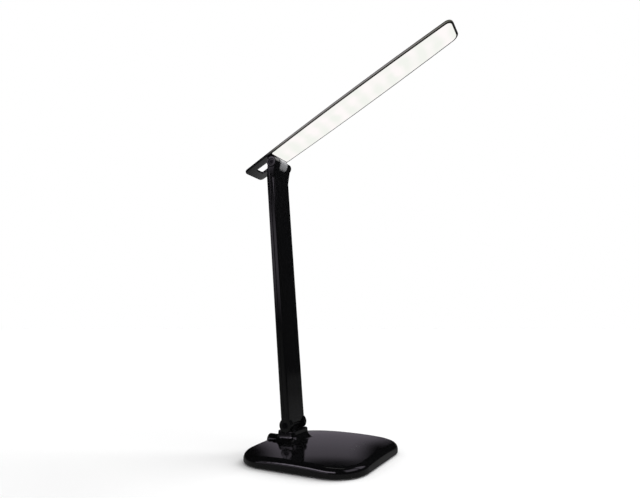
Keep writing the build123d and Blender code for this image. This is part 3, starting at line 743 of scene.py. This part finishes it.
# Surroundings: a white paper sweep, so wide that its edges never show, and just below the base
# so that no faces coincide. One broad light comes from behind on the right. The world is white
# to the camera and to reflections, and lights the object less than that.
sweep_height = -0.0002
bpy.ops.mesh.primitive_plane_add(size=60.0, location=(0.0, 0.0, sweep_height))
floor = bpy.context.object
floor.name = "floor"
paper, tree = new_material("white paper sweep")
matt = add_node(tree, "ShaderNodeBsdfDiffuse", {"Color": linear("#F7F7F7")})
add_node(tree, "ShaderNodeOutputMaterial", {"Surface": matt.outputs["BSDF"]})
floor.data.materials.append(paper)

world = bpy.data.worlds.new("studio")
bpy.context.scene.world = world
world.use_nodes = True
tree = world.node_tree
tree.nodes.clear()
rays = add_node(tree, "ShaderNodeLightPath", {})
seen = rays.outputs["Is Camera Ray"]
for other in ("Is Glossy Ray", "Is Transmission Ray"):
    seen = add_node(
        tree, "ShaderNodeMath", {0: seen, 1: rays.outputs[other]}, operation="MAXIMUM"
    ).outputs[0]
ambient = add_node(
    tree, "ShaderNodeBackground", {"Color": linear("#FFFFFF"), "Strength": 0.7}
).outputs["Background"]
white = add_node(
    tree, "ShaderNodeBackground", {"Color": linear("#FFFFFF"), "Strength": 1.0}
).outputs["Background"]
surround = add_node(tree, "ShaderNodeMixShader", {0: seen, 1: ambient, 2: white})
add_node(tree, "ShaderNodeOutputWorld", {"Surface": surround.outputs["Shader"]})

broad_data = bpy.data.lights.new("broad light", "SUN")
broad_data.energy = 2.1
broad_data.angle = math.radians(50.0)
broad_light = bpy.data.objects.new("broad light", broad_data)
broad_light.rotation_euler = (math.radians(-44.0), math.radians(36.0), 0.0)
broad_light.visible_glossy = False
bpy.context.scene.collection.objects.link(broad_light)


# Black felt tent with soft-edged cut-outs for light, over a grey mat: what polished plastic
# mirrors in a studio. Only reflections see them. The mat darkens from 0.2 to 1.6 m away from
# the lamp, with one bright pool behind it.
def only_reflected(card):
    """Marks a card as stage that lights and shades nothing and is seen in reflections alone."""
    card.visible_camera = False
    card.visible_diffuse = False
    card.visible_transmission = False
    card.visible_volume_scatter = False
    card.visible_shadow = False


bpy.ops.mesh.primitive_uv_sphere_add(radius=20.0, segments=64, ring_count=32)
tent = bpy.context.object
tent.name = "felt_tent"
only_reflected(tent)
felt, tree = new_material("black felt and white cloth")
place = add_node(tree, "ShaderNodeTexCoord", {}).outputs["Object"]
toward = add_node(
    tree, "ShaderNodeVectorMath", {0: place}, operation="NORMALIZE"
).outputs["Vector"]
rise = add_node(tree, "ShaderNodeSeparateXYZ", {"Vector": toward}).outputs["Z"]
flat = add_node(
    tree, "ShaderNodeVectorMath", {0: place, 1: (1.0, 1.0, 0.0)}, operation="MULTIPLY"
).outputs["Vector"]
compass = add_node(
    tree, "ShaderNodeVectorMath", {0: flat}, operation="NORMALIZE"
).outputs["Vector"]
brightness = 0.0
# Degrees, seen from the lamp: the compass angle of a cut-out's middle, how far to each side it
# is full and ends, and the heights where it starts, is full, is full still and ends. The last
# number is how bright it is.
for middle, full_side, side_edge, foot, full_low, full_high, top, strength in (
    (118.0, 6.0, 12.0, -2.0, 0.0, 6.0, 16.0, 0.225),  # behind, low
    (118.5, 5.0, 10.0, 6.0, 16.0, 22.5, 28.0, 0.255),  # behind, higher
    (248.0, 22.0, 28.0, 0.5, 8.0, 11.0, 17.5, 0.7),  # front left, low
    (264.0, 28.0, 34.0, 18.5, 22.0, 31.0, 37.0, 3.3),  # front left, higher
    (355.0, 18.0, 28.0, 26.0, 32.0, 50.0, 60.0, 1.1),  # front right, high
    (38.0, 9.0, 15.0, 20.0, 30.0, 50.0, 60.0, 1.2),  # right, high
):
    turn = math.radians(middle)
    beside = add_node(
        tree,
        "ShaderNodeVectorMath",
        {0: compass, 1: (math.cos(turn), math.sin(turn), 0.0)},
        operation="DOT_PRODUCT",
    ).outputs["Value"]
    cut = add_node(
        tree,
        "ShaderNodeMapRange",
        {
            "Value": beside,
            "From Min": math.cos(math.radians(side_edge)),
            "From Max": math.cos(math.radians(full_side)),
            "To Max": strength,
        },
        interpolation_type="SMOOTHSTEP",
    ).outputs["Result"]
    for dark, light in ((foot, full_low), (top, full_high)):
        edge = add_node(
            tree,
            "ShaderNodeMapRange",
            {
                "Value": rise,
                "From Min": math.sin(math.radians(dark)),
                "From Max": math.sin(math.radians(light)),
            },
            interpolation_type="SMOOTHSTEP",
        ).outputs["Result"]
        cut = add_node(
            tree, "ShaderNodeMath", {0: cut, 1: edge}, operation="MULTIPLY"
        ).outputs[0]
    brightness = add_node(
        tree, "ShaderNodeMath", {0: cut, 1: brightness}, operation="ADD"
    ).outputs[0]
cloth = add_node(
    tree, "ShaderNodeEmission", {"Color": linear("#F8EDFF"), "Strength": brightness}
)
add_node(tree, "ShaderNodeOutputMaterial", {"Surface": cloth.outputs["Emission"]})
tent.data.materials.append(felt)

mat_height = -0.0001
pool_middle = (-0.1, 0.68, 0.0)
bpy.ops.mesh.primitive_plane_add(size=40.0, location=(0.0, 0.0, mat_height))
mat = bpy.context.object
mat.name = "grey_mat"
only_reflected(mat)
grey, tree = new_material("grey mat")
place = add_node(tree, "ShaderNodeTexCoord", {}).outputs["Object"]
spread = add_node(tree, "ShaderNodeVectorMath", {0: place}, operation="LENGTH").outputs["Value"]
level = add_node(
    tree,
    "ShaderNodeMapRange",
    {"Value": spread, "From Min": 0.2, "From Max": 1.6, "To Min": 0.14, "To Max": 0.06},
).outputs["Result"]
off_pool = add_node(
    tree, "ShaderNodeVectorMath", {0: place, 1: pool_middle}, operation="DISTANCE"
).outputs["Value"]
pool = add_node(
    tree,
    "ShaderNodeMapRange",
    {"Value": off_pool, "From Min": 0.35, "From Max": 0.15, "To Max": 0.95},
    interpolation_type="SMOOTHSTEP",
).outputs["Result"]
shine = add_node(tree, "ShaderNodeMath", {0: level, 1: pool}, operation="ADD").outputs[0]
tone = add_node(tree, "ShaderNodeEmission", {"Strength": shine})
add_node(tree, "ShaderNodeOutputMaterial", {"Surface": tone.outputs["Emission"]})
mat.data.materials.append(grey)


# Camera: where the photograph was taken from, worked out from the lamp's own edges.
# It looks 9 degrees up and 28 to the left, through a lens of 27.5 mm on a sensor 36 mm wide.
looking_up = 0.15702
turned_left = 0.48404
camera_data = bpy.data.cameras.new("camera")
camera_data.sensor_width = 36.0
camera_data.lens = 27.489
camera_data.clip_start = 0.01
camera = bpy.data.objects.new("camera", camera_data)
camera.location = (0.2513, -0.4855, 0.1362)
camera.rotation_euler = (math.pi / 2 + looking_up, 0.0, turned_left)
bpy.context.scene.collection.objects.link(camera)
bpy.context.scene.camera = camera
bpy.context.scene.view_settings.view_transform = "Standard"
